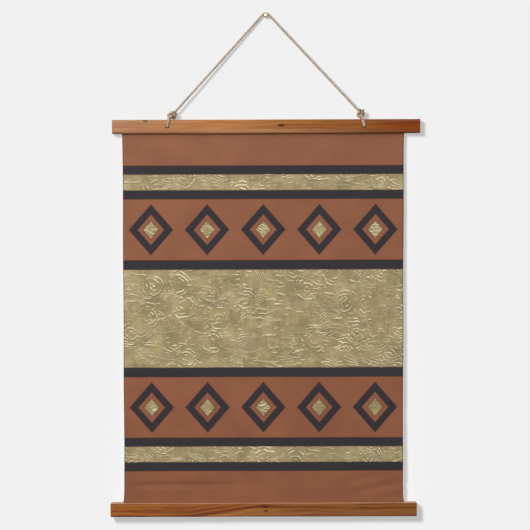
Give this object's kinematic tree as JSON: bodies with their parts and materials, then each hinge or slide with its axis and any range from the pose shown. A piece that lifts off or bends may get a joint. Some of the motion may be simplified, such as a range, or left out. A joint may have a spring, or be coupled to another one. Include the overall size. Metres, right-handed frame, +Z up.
{
  "type": "textile wall hanging with wooden hanger bars and nail",
  "caption": "Printed canvas panel gripped between flat stained wood slats at top and bottom, hung by a knotted jute cord over a nail.",
  "frame": {"origin": "where the nail enters the wall, on the wall's plane", "axes": "+Z up along the drop, +Y into the wall, +X to the right as seen from the front"},
  "size_m": [0.5058, 0.0394, 0.8212],
  "materials": {
    "canvas": "printed canvas, matte",
    "stained_wood": "stained, satin",
    "jute": "twisted, hairy",
    "brass": "polished"
  },
  "bodies": {
    "root": {"cloth_panel": "canvas", "top_front_slat": "stained_wood", "top_back_slat": "stained_wood", "bottom_front_slat": "stained_wood", "bottom_back_slat": "stained_wood", "hanging_cord": "jute", "knot_left": "jute", "knot_right": "jute", "wall_nail": "brass"}
  },
  "joints": []
}
